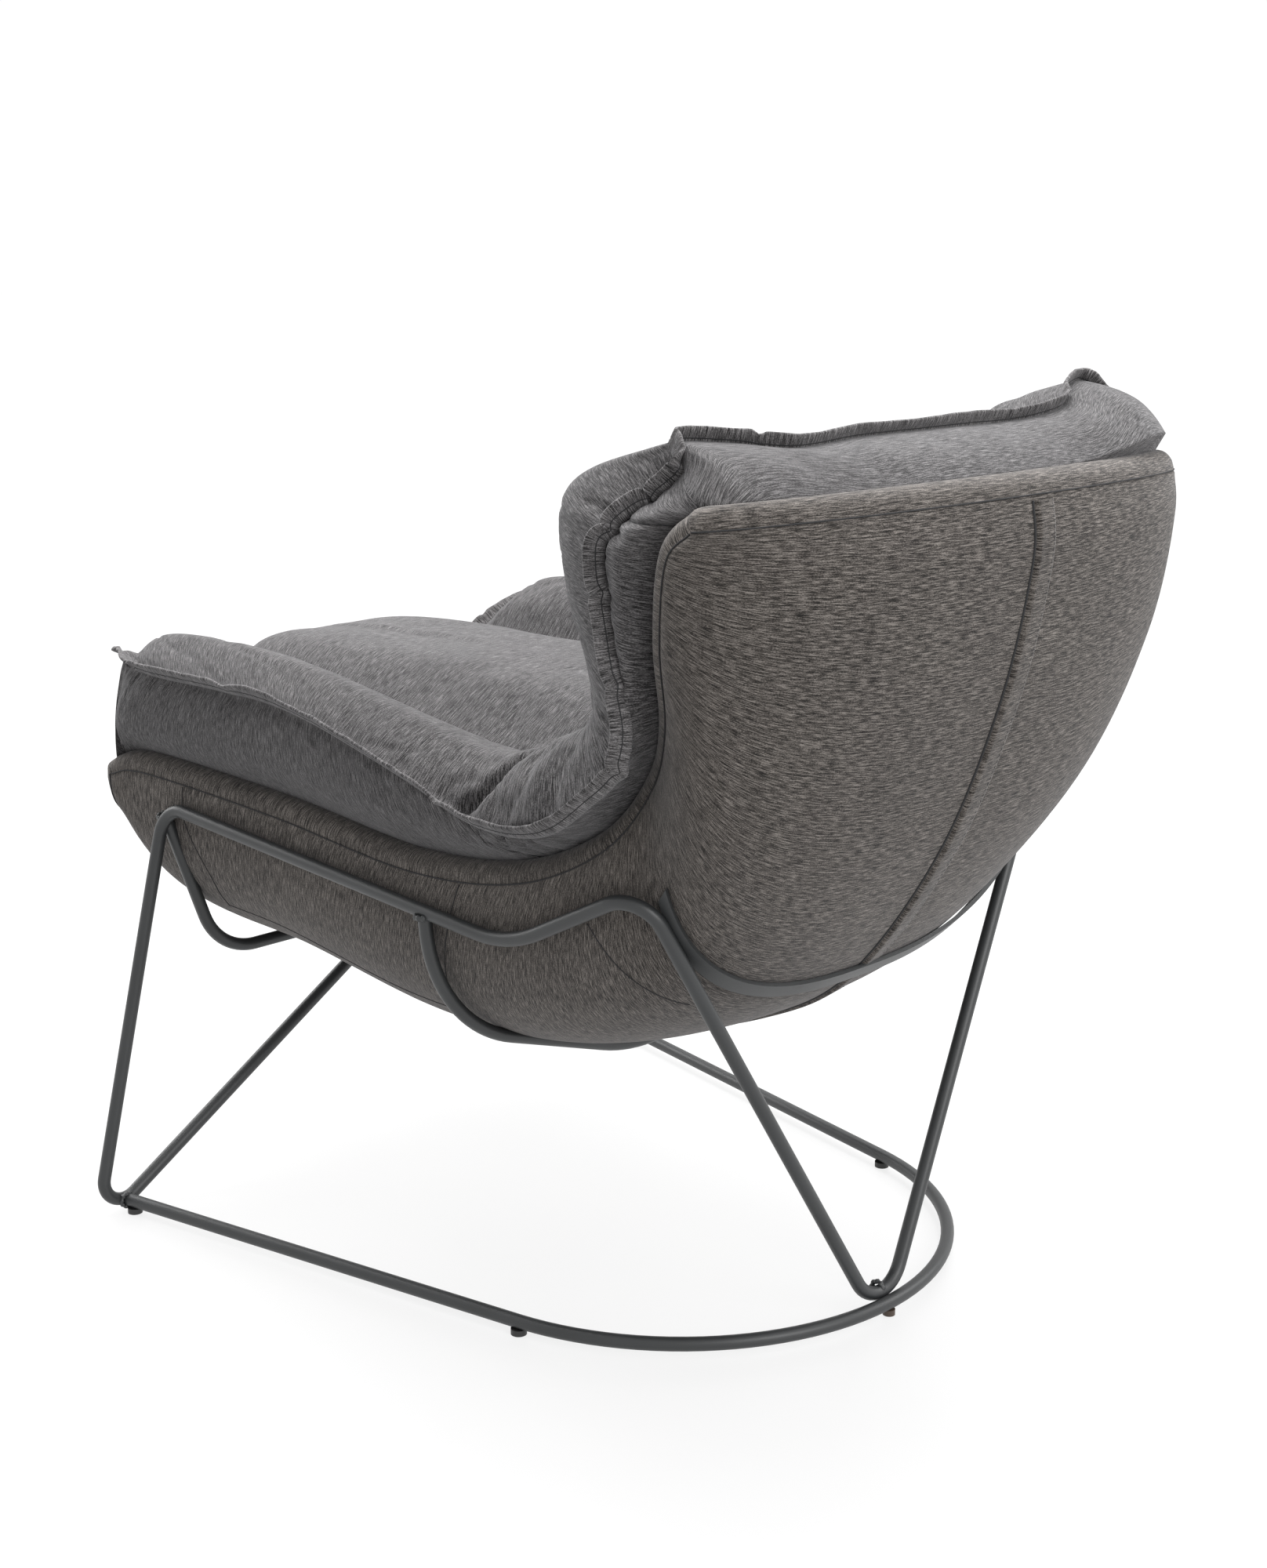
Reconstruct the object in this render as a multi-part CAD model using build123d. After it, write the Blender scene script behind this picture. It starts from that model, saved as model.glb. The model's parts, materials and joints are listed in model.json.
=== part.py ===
"""Upholstered bucket lounge chair on a bent-tube frame, in millimetres, +Z up.

The sitter faces -Y and the sitter's left is +X. The chair is drawn with Y = 0 at
the centre of the floor ring's rear arc. At the end every piece moves together, so
that the origin is the centre of the chair's footprint on the floor.
"""
import math
import os

from build123d import *

# ---------------------------------------------------------------- tube frame
tube_d = 14.0
tube_wall = 1.5
glide_h = 6.0
glide_d = 16.0
rear_glide_d = 12.5
stem_d = 5.0
stem_h = 7.0
stem_gap = 0.1              # radial play of a glide's stem in its hole
ring_radius = 290.0
front_plane_y = -466.0      # plane of the front legs and of the front cradle hoop
foot_x = 389.0              # centre of the bend where a front leg meets the floor
foot_bend_r = 24.0
leg_top = (311.0, 444.0)    # x, z where a side rail turns down into a front leg
corner_bend_r = 30.0
apex_z = 249.0              # top of the centre line of the inverted V
apex_bend_r = 24.0
rear_top = (293.0, 231.0, 488.0)    # where a rear V arm turns forward into a rail
rear_corner_bend_r = 32.0
rear_vertex_bend_r = 38.0
rear_vertex_tilt = 32.0     # the V rests on the ring at this angle above level
rail_dip = (304.0, 70.0, 404.0)
rail_dip_bend_r = 150.0
splice_drop = 46.0          # from a rail's corner down to its joint with the leg or V
hoop_gap = 0.3              # the front hoop over the inverted V it is welded to
front_hoop_turn = (250.0, 70.0)     # x of the hoop's lower bend, and its radius
rear_hoop_y = -45.0
rear_hoop_turn = (305.0, 294.0, 160.0)      # x, z and radius of the hoop's side bend
rear_hoop_bottom_z = 203.0
rear_hoop_bottom_r = 210.0
hoop_end_drop = 2.0         # the rear hoop's ends lie this far below the rails' centre lines
strap_width = 19.0
strap_t = 4.0
strap_y = 240.0             # the strap hugs the shell in this plane
strap_gap = 0.4             # play between the strap and the closure flap under it

# ------------------------------------------------------------ upholstered shell
# Outer surface: centre line (y, z), side rim (x, y, z) and squareness of the row
stations = [
    ("lip", -568.0, 375.0, 312.0, -568.0, 461.0, 3.0),
    ("front bend", -518.0, 281.0, 305.5, -512.0, 470.0, 2.9),
    ("front seat", -371.0, 248.0, 299.0, -290.0, 460.0, 2.45),
    ("mid seat", -182.0, 218.0, 297.0, -78.0, 444.0, 2.3),
    ("rear seat", -24.0, 227.0, 297.0, 74.0, 462.0, 2.35),
    ("armpit", 114.0, 270.0, 290.0, 178.0, 510.0, 2.4),
    ("tail", 228.0, 339.0, 282.0, 231.0, 572.0, 2.6),
    ("lower back", 331.0, 479.0, 313.0, 278.0, 640.0, 2.9),
    ("mid back", 395.0, 632.0, 341.0, 298.0, 717.0, 2.7),
    ("upper back", 425.0, 764.0, 350.0, 313.0, 789.0, 2.35),
    ("top", 422.0, 823.0, 343.0, 334.0, 814.0, 2.0),
]
cover_t = 1.5
outer_foam_t = 11.6
core_t = 10.0
inner_foam_t = 13.6
soft_gap = 0.5              # play between the layers of the shell
rest_gap = 0.8              # play between the cushions and the shell's lining
side_gap = 3.0              # more play beside the side pads, which narrow to the rim
roll_gap = 1.5              # play under the roll on the shell's edge
corner_gap = 3.4            # the same where the rolls meet at a corner
flap_width = 25.0
flap_t = 1.5

# --------------------------------------------------------------- loose cushions
centre_half = 190.0         # half width of the seat and back pads
cushion_side = 348.0        # half width over the arm and wing rolls
base_foam_z = 437.0         # top of the foam that fills the bowl
foam_inset = 2.0            # that foam is narrower by this on each side
seat_front = 0.012          # shell stations, as shares of the way from lip to top
seat_end = 0.40
corner_end = 0.58
top_end = 0.995
pad_split = 0.0012          # half the gap between two side pads, as a share
bolster_start = 6.0         # a bolster starts this far out from the lining's edge
# Rise of a roll's seam and of its valley above the rim, at each station
seam_rise = [112.0, 132.0, 142.0, 118.0, 68.0, 38.0, 30.0, 48.0, 80.0, 96.0, 76.0]
crest_over_seam = 38.0
# Degrees by which a roll leans up from the way that the rim bulges
roll_lean = [18.0, 8.0, 0.0, 0.0, 0.0, 0.0, 0.0, 0.0, 3.0, 6.0, 12.0]
valley_rise = [70.0, 88.0, 92.0, 92.0, 96.0, 84.0, 74.0, 74.0, 78.0, 92.0, 92.0]
# Upper face of the seat pad, then front face of the back pad (y, z)
seat_line = [(-592.0, 520.0), (-575.0, 583.0), (-430.0, 598.0), (-180.0, 594.0), (128.0, 600.0)]
back_line = [(135.0, 600.0), (158.0, 640.0), (205.0, 745.0), (222.0, 838.0), (300.0, 893.0)]

# ------------------------------------------------------------------- fastenings
screw_d = 8.0
screw_head_d = 14.0
screw_head_h = 5.0
screw_hole_gap = 0.3        # radial play of a screw in the tabs and in the shell
thread_gap = 0.1            # radial play of a screw in its tee nut
washer_d = 18.0
washer_t = 1.6
tab_length = 34.0
tab_width = 26.0
tab_t = 3.0
tab_gap = 0.3               # a tab under the shell's cover
tab_x = 105.0               # screws to either side of the middle
tee_flange_d = 20.0
tee_flange_t = 1.5
tee_barrel_d = 10.5

rows = 41                   # sampling of the shell, lip to top
columns = 33                # sampling of the shell, side to side

half_tube = tube_d / 2
ring_z = glide_h + half_tube
shell_t = cover_t + outer_foam_t + core_t + inner_foam_t + cover_t + 4 * soft_gap
nodes = {}
hoop_rods = []


# ------------------------------------------------------------------ small helpers
def blend(values, share):
    """Catmull-Rom curve through evenly spaced numbers, at a share of its length."""
    last = len(values) - 1
    place = min(max(share, 0.0), 1.0) * last
    i = min(int(place), last - 1)
    f = place - i
    before = values[i - 1] if i > 0 else 2 * values[0] - values[1]
    after = values[i + 2] if i + 2 <= last else 2 * values[last] - values[last - 1]
    here, there = values[i], values[i + 1]
    slope = (there - before) * f
    bend = (2 * before - 5 * here + 4 * there - after) * f * f
    twist = (3 * here - before - 3 * there + after) * f ** 3
    return here + (slope + bend + twist) / 2


def share_list(start, end, count):
    return [start + (end - start) * i / (count - 1) for i in range(count)]


def spline(points):
    """Smooth edge, with the same parameters for as many points, so that lofts stay light."""
    return Edge.make_spline([Vector(point) for point in points], parameters=share_list(0, 1, len(points)))


def slab(lower, upper):
    """Closed solid between two grids of points with the same rows and columns.

    One loft makes both skins and both long walls, so that they match. The two end
    walls are ruled.
    """
    sections = []
    for low, high in zip(lower, upper):
        sides = Edge.make_line(low[-1], high[-1]), Edge.make_line(high[0], low[0])
        sections.append(Wire([spline(low), sides[0], spline(high[::-1]), sides[1]]))
    around = Shell.make_loft(sections)
    walls = [Face.make_surface_from_curves(spline(lower[row]), spline(upper[row])) for row in (0, -1)]
    return Solid(Shell(list(around.faces()) + walls))


def even(points, count):
    """Points at equal steps along a line of many points."""
    along = [0.0]
    for here, there in zip(points, points[1:]):
        along.append(along[-1] + (there - here).length)
    result = []
    i = 0
    for target in share_list(0, along[-1], count):
        while i < len(points) - 2 and along[i + 1] < target:
            i += 1
        f = (target - along[i]) / (along[i + 1] - along[i])
        result.append(points[i] + (points[i + 1] - points[i]) * f)
    return result


def tangent_point(centre, radius, point, side):
    """Where the line from a point touches a circle, in 2D. side is +1 or -1."""
    away = Vector(point[0] - centre[0], point[1] - centre[1])
    turn = math.degrees(math.acos(radius / away.length)) * side
    touch = away.normalized().rotate(Axis.Z, turn) * radius
    return centre[0] + touch.X, centre[1] + touch.Y


def rod(path, diameter):
    start = Plane(origin=path.position_at(0), z_dir=path.tangent_at(0))
    return sweep(start * Circle(diameter / 2), path=path)


def tube(path):
    return rod(path, tube_d) - rod(path, tube_d - 2 * tube_wall)


def bent(points, radii):
    """Centre line of straight runs joined by tangent arcs."""
    with BuildLine() as line:
        FilletPolyline(*points, radius=radii)
    return line.wire()


def both_sides(shape):
    return {"left": shape, "right": shape.mirror(Plane.YZ)}


# ------------------------------------------------------------------ shell surface
def station(share):
    """Centre point, rim point and squareness of the shell's row at a share."""
    _, cy, cz, rx, ry, rz, square = zip(*stations)
    centre = Vector(0, blend(cy, share), blend(cz, share))
    rim = Vector(blend(rx, share), blend(ry, share), blend(rz, share))
    return centre, rim, blend(square, share)


def run_of(share, which):
    """Direction in the YZ plane of the centre line (0) or of the rim (1)."""
    step = 0.004
    ahead = station(min(share + step, 1.0))[which]
    behind = station(max(share - step, 0.0))[which]
    return Vector(0, ahead.Y - behind.Y, ahead.Z - behind.Z).normalized()


def layer_point(share, angle, depth):
    """Point of the layer at a depth inside the outer surface.

    angle runs from -90 at the right rim to 90 at the left rim, and a row is a
    superellipse between the centre line and the rim. The centre line moves in
    along its normal and the rim moves in sideways, so that the layers are nested.
    """
    centre, rim, square = station(share)
    run = run_of(share, 0)
    centre = centre - Vector(0, run.Z, -run.Y) * depth
    a = math.radians(angle)
    reach = (abs(math.sin(a)) ** square + abs(math.cos(a)) ** square) ** (1 / square)
    rise = 1 - math.cos(a) / reach
    y = centre.Y + (rim.Y - centre.Y) * rise
    z = centre.Z + (rim.Z - centre.Z) * rise
    return Vector((rim.X - depth) * math.sin(a) / reach, y, z)


def skin_normal(share, angle):
    """Unit vector out of the shell, away from the sitter."""
    step, swing = 0.004, 0.5
    ahead, back = min(share + step, 1.0), max(share - step, 0.0)
    along = layer_point(ahead, angle, 0) - layer_point(back, angle, 0)
    across = layer_point(share, angle + swing, 0) - layer_point(share, angle - swing, 0)
    return along.cross(across).normalized()


def layer_grid(depth, shares, angles):
    return [[layer_point(s, a, depth) for a in angles] for s in shares]


def angle_at(share, x, depth):
    """Angle at which a layer of the shell is x away from the middle."""
    low, high = 0.0, 90.0
    for _ in range(24):
        middle = (low + high) / 2
        if layer_point(share, middle, depth).X < x:
            low = middle
        else:
            high = middle
    return low


def share_at(angle, y, depth):
    """Share at which a layer of the shell crosses a plane of constant y."""
    low, high = 0.2, 0.85
    for _ in range(24):
        middle = (low + high) / 2
        if layer_point(middle, angle, depth).Y < y:
            low = middle
        else:
            high = middle
    return low


def shell_layer(start, thickness):
    whole = share_list(0, 1, rows)
    sweep_angles = share_list(-90, 90, columns)
    outside = layer_grid(start, whole, sweep_angles)
    inside = layer_grid(start + thickness, whole, sweep_angles)
    return slab(inside, outside)


def edge_line(share, angle):
    """Middle of the shell's edge, and the vector from there to its outer line."""
    outer = layer_point(share, angle, 0)
    inner = layer_point(share, angle, shell_t)
    return (outer + inner) / 2, (outer - inner) / 2


def side_outward(share):
    """Direction in which the left rim bulges, square to the rim."""
    run = run_of(share, 1)
    return Vector(0, -run.Z, run.Y)


def end_outward(share, angle):
    """Direction in which the lip (share 0) or the top edge (share 1) bulges."""
    low, high = max(angle - 2, -90), min(angle + 2, 90)
    across = layer_point(share, high, shell_t / 2) - layer_point(share, low, shell_t / 2)
    outward = across.cross(edge_line(share, angle)[1]).normalized()
    return outward if outward.dot(Vector(0, -0.3, 1)) > 0 else -outward


def corner_outward(share):
    """Mean of the two directions where a side meets the lip or the top edge."""
    return (side_outward(share) + end_outward(share, 90)).normalized()


def half_round(share, angle):
    """Section of the roll on the shell's edge: a half circle on a flat base."""
    middle, half = edge_line(share, angle)
    at_corner = min(share, 1 - share) < 0.001 and abs(angle) > 89.9
    if at_corner:
        outward = corner_outward(share)
    elif abs(angle) > 89.9:
        outward = side_outward(share)
    else:
        outward = end_outward(share, angle)
    base = middle + outward * (corner_gap if at_corner else roll_gap)
    arc = Edge.make_three_point_arc(base + half, base + outward * half.length, base - half)
    return Wire([arc, Edge.make_line(base - half, base + half)])


# ------------------------------------------------------------------ frame parts
def bend_bottom(top, vertex, apex, radius):
    """Lowest point of the bend at a vertex, in the XZ plane."""
    up_out = Vector(top[0] - vertex[0], top[1] - vertex[1]).normalized()
    up_in = Vector(apex[0] - vertex[0], apex[1] - vertex[1]).normalized()
    half = math.radians(up_out.get_angle(up_in)) / 2
    centre = Vector(vertex[0], vertex[1]) + (up_out + up_in).normalized() * (radius / math.sin(half))
    return centre.X, centre.Y - radius


def foot_vertex(apex):
    """Corner of the leg whose bend rests at the ring's height below foot_x."""
    x, z = foot_x, 0.0
    for _ in range(40):
        low_x, low_z = bend_bottom(leg_top, (x, z), apex, foot_bend_r)
        x += foot_x - low_x
        z += ring_z - low_z
    return x, z


def rear_arm_points():
    """Corner points of the rear V: left top, bottom vertex and right top."""
    tilt = math.radians(rear_vertex_tilt)
    low_y = ring_radius - tube_d * math.cos(tilt)
    low_z = ring_z + tube_d * math.sin(tilt)
    top = Vector(*rear_top)
    vertex = Vector(0, low_y, low_z)
    for _ in range(20):
        arm = (top - vertex).normalized()
        upright = Vector(0, arm.Y, arm.Z)
        sink = rear_vertex_bend_r * (1 / math.sin(math.acos(upright.length)) - 1)
        vertex = Vector(0, low_y, low_z) - upright.normalized() * sink
    return top, vertex, Vector(-top.X, top.Y, top.Z)


def toward(start, end, distance):
    return start + (end - start).normalized() * distance


def build_frame():
    apex_half = math.atan2(foot_x + foot_bend_r, apex_z)
    apex_vertex_z = apex_z + apex_bend_r * (1 / math.sin(apex_half) - 1)
    apex = Vector(0, front_plane_y, apex_vertex_z)
    foot_x_corner, foot_z_corner = foot_vertex((0, apex_vertex_z))
    foot = Vector(foot_x_corner, front_plane_y, foot_z_corner)
    corner = Vector(leg_top[0], front_plane_y, leg_top[1])
    dip = Vector(*rail_dip)
    rear, vertex, rear_right = rear_arm_points()
    leg_joint = toward(corner, foot, splice_drop)
    arm_joint = toward(rear, vertex, splice_drop)
    stub_joint = toward(foot, apex, (foot - apex).length * 0.25)

    # floor ring: straight sides, tangent to the rear arc, that butt on the feet
    end = (foot_x, front_plane_y)
    touch = tangent_point((0, 0), ring_radius, end, 1)
    with BuildLine() as ring_line:
        Line((end[0], end[1], ring_z), (touch[0], touch[1], ring_z))
        ThreePointArc((touch[0], touch[1], ring_z), (0, ring_radius, ring_z), (-touch[0], touch[1], ring_z))
        Line((-touch[0], touch[1], ring_z), (-end[0], end[1], ring_z))
    leg_path = bent([leg_joint, foot, stub_joint], [foot_bend_r])
    legs = both_sides(tube(leg_path))
    leg_rods = both_sides(rod(leg_path, tube_d))
    ring = tube(ring_line.wire()) - leg_rods["left"] - leg_rods["right"]
    spots = glide_spots(end, touch)
    for x, y, _ in spots:
        hole = Cylinder(stem_d / 2 + stem_gap, half_tube, align=(Align.CENTER, Align.CENTER, Align.MIN))
        ring -= Pos(x, y, glide_h - 1) * hole
    nodes["floor_ring"] = ring

    rail_path = bent(
        [arm_joint, rear, dip, corner, leg_joint],
        [rear_corner_bend_r, rail_dip_bend_r, corner_bend_r],
    )
    rails = both_sides(tube(rail_path))
    rail_rods = both_sides(rod(rail_path, tube_d))
    for side in ("left", "right"):
        nodes[side + "_side_rail"] = rails[side]
        nodes[side + "_front_leg"] = legs[side]

    right_arm_joint = Vector(-arm_joint.X, arm_joint.Y, arm_joint.Z)
    arm_path = bent([arm_joint, vertex, right_arm_joint], [rear_vertex_bend_r])
    nodes["rear_v_bar"] = tube(arm_path)

    right_stub = Vector(-stub_joint.X, stub_joint.Y, stub_joint.Z)
    nodes["front_inverted_v"] = tube(bent([stub_joint, apex, right_stub], [apex_bend_r]))

    hoop_z = apex_z + tube_d + hoop_gap
    turn_x, turn_r = front_hoop_turn
    end_z = leg_top[1] - corner_bend_r / 3
    hoop_points = [
        Vector(leg_top[0], front_plane_y, end_z),
        Vector(turn_x, front_plane_y, hoop_z),
        Vector(-turn_x, front_plane_y, hoop_z),
        Vector(-leg_top[0], front_plane_y, end_z),
    ]
    nodes["front_cradle_hoop"] = hoop(hoop_points, [turn_r, turn_r], rail_rods, leg_rods)

    side_x, side_z, side_r = rear_hoop_turn
    part = (rear_hoop_y - dip.Y) / (corner.Y - dip.Y)
    on_rail = dip + (corner - dip) * part - Vector(0, 0, hoop_end_drop)
    lowest = Vector(0, rear_hoop_y, rear_hoop_bottom_z)
    slope = (side_z - rear_hoop_bottom_z) / side_x
    drop = rear_hoop_bottom_r * (math.sqrt(1 + slope * slope) - 1)
    hoop_points = [
        on_rail,
        Vector(side_x, rear_hoop_y, side_z),
        lowest - Vector(0, 0, drop),
        Vector(-side_x, rear_hoop_y, side_z),
        Vector(-on_rail.X, on_rail.Y, on_rail.Z),
    ]
    radii = [side_r, rear_hoop_bottom_r, side_r]
    nodes["rear_cradle_hoop"] = hoop(hoop_points, radii, rail_rods, leg_rods)
    build_glides(spots)
    build_strap([rod(arm_path, tube_d), rail_rods["left"], rail_rods["right"]])


def hoop(points, radii, rail_rods, leg_rods):
    """Hoop coped to the rails and legs, pressed a little into the soft shell."""
    path = bent(points, radii)
    hoop_rods.append(rod(path, tube_d))
    for node in ("shell_outer_cover", "shell_outer_foam"):
        nodes[node] = nodes[node] - rod(path, tube_d + 2 * soft_gap)
    shape = tube(path)
    for side in ("left", "right"):
        shape = shape - rail_rods[side] - leg_rods[side]
    return max(shape.solids(), key=lambda piece: piece.volume)


def glide_spots(end, touch):
    """x, y and diameter of each glide under the ring."""
    run = Vector(touch[0] - end[0], touch[1] - end[1])
    front = Vector(end[0], end[1]) + run.normalized() * (half_tube + glide_d / 2 + 1)
    spots = [(front.X, front.Y, glide_d), (touch[0], touch[1], glide_d)]
    spots += [(-x, y, d) for x, y, d in spots]
    spots.append((0.0, ring_radius, rear_glide_d))
    return spots


def build_glides(spots):
    shapes = []
    for x, y, diameter in spots:
        pad = Cylinder(diameter / 2, glide_h, align=(Align.CENTER, Align.CENTER, Align.MIN))
        stem = Cylinder(stem_d / 2, glide_h + stem_h, align=(Align.CENTER, Align.CENTER, Align.MIN))
        body = Pos(x, y, 0) * (pad + stem)
        shapes.append(body)
    nodes["floor_glides"] = shapes[:-1]
    nodes["rear_glide"] = shapes[-1]


def build_strap(neighbours):
    """Flat bar that hugs the shell's tail from one arm of the V to the other."""
    lift = soft_gap + flap_t + strap_gap
    angles = share_list(-66, 66, 41)
    lower = []
    upper = []
    for offset in share_list(-strap_width / 2, strap_width / 2, 5):
        near = []
        far = []
        for angle in angles:
            middle = share_at(abs(angle), strap_y, 0)
            step = 0.01
            pace = (layer_point(middle + step, angle, 0) - layer_point(middle, angle, 0)).length / step
            share = middle + offset / pace
            near.append(layer_point(share, angle, -lift))
            far.append(layer_point(share, angle, -lift - strap_t))
        lower.append(near)
        upper.append(far)
    bar = slab(lower, upper)
    for neighbour in neighbours:
        bar = bar - neighbour
    nodes["rear_strap"] = max(bar.solids(), key=lambda piece: piece.volume)


# ------------------------------------------------------------------ shell parts
def build_shell():
    depth = 0.0
    layers = [
        ("shell_outer_cover", cover_t),
        ("shell_outer_foam", outer_foam_t),
        ("shell_core", core_t),
        ("shell_inner_foam", inner_foam_t),
        ("shell_inner_lining", cover_t),
    ]
    for name, thickness in layers:
        nodes[name] = shell_layer(depth, thickness)
        depth += thickness + soft_gap

    sides = [half_round(s, 90) for s in share_list(0, 1, rows)]
    rolls = both_sides(Solid.make_loft(sides))
    nodes["rim_roll_left"] = rolls["left"]
    nodes["rim_roll_right"] = rolls["right"]
    for name, share in (("rim_roll_front", 0.0), ("rim_roll_top", 1.0)):
        ends = [half_round(share, a) for a in share_list(90, -90, 49)]
        nodes[name] = Solid.make_loft(ends)

    # the flap that covers the back's closure, sewn down on the sitter's right
    shares = share_list(0.3, 0.99, 31)
    inner = []
    outer = []
    for share in shares:
        angles = [-angle_at(share, x, 0) for x in share_list(0.01, flap_width, 5)]
        inner.append([layer_point(share, a, -soft_gap) for a in angles])
        outer.append([layer_point(share, a, -soft_gap - flap_t) for a in angles])
    nodes["closure_flap"] = slab(inner, outer)


def build_fastenings():
    """Tabs welded beside the hoops, with screws into tee nuts in the shell's core."""
    tabs, screws, washers, nuts = [], [], [], []
    core_depth = cover_t + outer_foam_t + 2 * soft_gap
    seat_depth = core_depth + core_t
    reach = half_tube + tab_length / 2
    for hoop_y, along in ((front_plane_y, 1), (rear_hoop_y, -1)):
        for side in (1, -1):
            share, angle = fastening_place(hoop_y + along * reach, tab_x)
            normal = skin_normal(share, angle * side)
            skin = layer_point(share, angle * side, 0)
            run = (layer_point(share + 0.02, angle * side, 0) - skin).normalized()
            frame = Plane(origin=skin, x_dir=run, z_dir=normal)
            under = frame.offset(tab_gap)
            plate = Box(tab_length, tab_width, tab_t, align=(Align.CENTER, Align.CENTER, Align.MIN))
            bore = Cylinder(screw_d / 2 + screw_hole_gap, tab_t, align=(Align.CENTER, Align.CENTER, Align.MIN))
            tabs.append(under * (plate - bore) - hoop_rods[0] - hoop_rods[1])
            seat = frame.offset(tab_gap + tab_t)
            ring = Cylinder(washer_d / 2, washer_t, align=(Align.CENTER, Align.CENTER, Align.MIN))
            ring -= Cylinder(screw_d / 2 + screw_hole_gap, 3 * washer_t)
            washers.append(seat * ring)
            head = Cylinder(screw_head_d / 2, screw_head_h, align=(Align.CENTER, Align.CENTER, Align.MIN))
            length = tab_gap + tab_t + washer_t + seat_depth
            shank = Cylinder(screw_d / 2, length, align=(Align.CENTER, Align.CENTER, Align.MAX))
            socket = extrude(RegularPolygon(screw_d / 3, 6), screw_head_h / 2)
            screw = head - Pos(0, 0, screw_head_h / 2) * socket + shank
            screws.append(frame.offset(tab_gap + tab_t + washer_t) * screw)
            for node in ("shell_outer_cover", "shell_outer_foam"):
                hole = Cylinder(screw_d / 2 + screw_hole_gap, 6 * (cover_t + outer_foam_t))
                nodes[node] = nodes[node] - frame * hole
            inner = frame.offset(-seat_depth)
            barrel = Cylinder(tee_barrel_d / 2, core_t - 1, align=(Align.CENTER, Align.CENTER, Align.MIN))
            flange = Cylinder(tee_flange_d / 2, tee_flange_t, align=(Align.CENTER, Align.CENTER, Align.MIN))
            thread = Cylinder(screw_d / 2 + thread_gap, 4 * core_t)
            nuts.append(inner * (barrel + flange - thread))
            pocket = Pos(0, 0, -core_t) * Cylinder(
                tee_flange_d / 2 + thread_gap, core_t + tee_flange_t + thread_gap,
                align=(Align.CENTER, Align.CENTER, Align.MIN),
            )
            well = Cylinder(tee_barrel_d / 2 + thread_gap, 4 * core_t)
            nodes["shell_core"] = nodes["shell_core"] - inner * (pocket + well)
    nodes["mounting_tabs"] = tabs
    nodes["tab_washers"] = washers
    nodes["mounting_screws"] = screws
    nodes["tee_nuts"] = nuts


def fastening_place(y, x):
    """Share and angle of the point of the outer surface at y and x, underneath."""
    share = 0.3
    for _ in range(12):
        angle = angle_at(share, x, 0)
        low, high = 0.05, 0.6
        for _ in range(24):
            middle = (low + high) / 2
            if layer_point(middle, angle, 0).Y < y:
                low = middle
            else:
                high = middle
        share = low
    return share, angle


# ---------------------------------------------------------------- cushion parts
def curve_point(points, share):
    """Point (y, z) of a smooth line through a few points."""
    return blend([p[0] for p in points], share), blend([p[1] for p in points], share)


def pad_depth():
    return shell_t + rest_gap


def build_centre_pads():
    half = centre_half
    xs = share_list(-half, half, 17)

    def lining_row(share, places):
        angles = [math.copysign(angle_at(share, abs(x), pad_depth()), x) for x in places]
        return [layer_point(share, a, pad_depth()) for a in angles]

    # foam that fills the bottom of the bowl, up to a level top
    low_share, high_share = 0.07, 0.515
    foam_xs = share_list(foam_inset - half, half - foam_inset, 17)
    floor_rows = [lining_row(s, foam_xs) for s in share_list(low_share, high_share, 37)]
    level_rows = [[Vector(p.X, p.Y, base_foam_z) for p in row] for row in floor_rows]
    nodes["seat_base_foam"] = slab(floor_rows, level_rows)

    # seat pad: a crowned block on the base foam, a little over the lip
    front, rear = seat_line[0][0], seat_line[-1][0]
    under, over = [], []
    for share in share_list(0, 1, 21):
        y, z = curve_point(seat_line, share)
        crown = [6 * math.cos(math.pi * x / half / 2) for x in xs]
        over.append([Vector(x, y, z - 6 + c) for x, c in zip(xs, crown)])
        y_low = front + 45 + (rear - 8 - front - 45) * share
        under.append([Vector(x, y_low, base_foam_z + soft_gap) for x in xs])
    nodes["seat_pad"] = slab(under, over)

    # back pad: from the shell's lining forward to the face that the sitter leans on
    under, over = [], []
    for share in share_list(0, 1, 39):
        under.append(lining_row(0.53 + (top_end - 0.53) * share, xs))
        y, z = curve_point(back_line, share)
        over.append([Vector(x, y, z) for x in xs])
    nodes["back_pad"] = slab(under, over)


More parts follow.
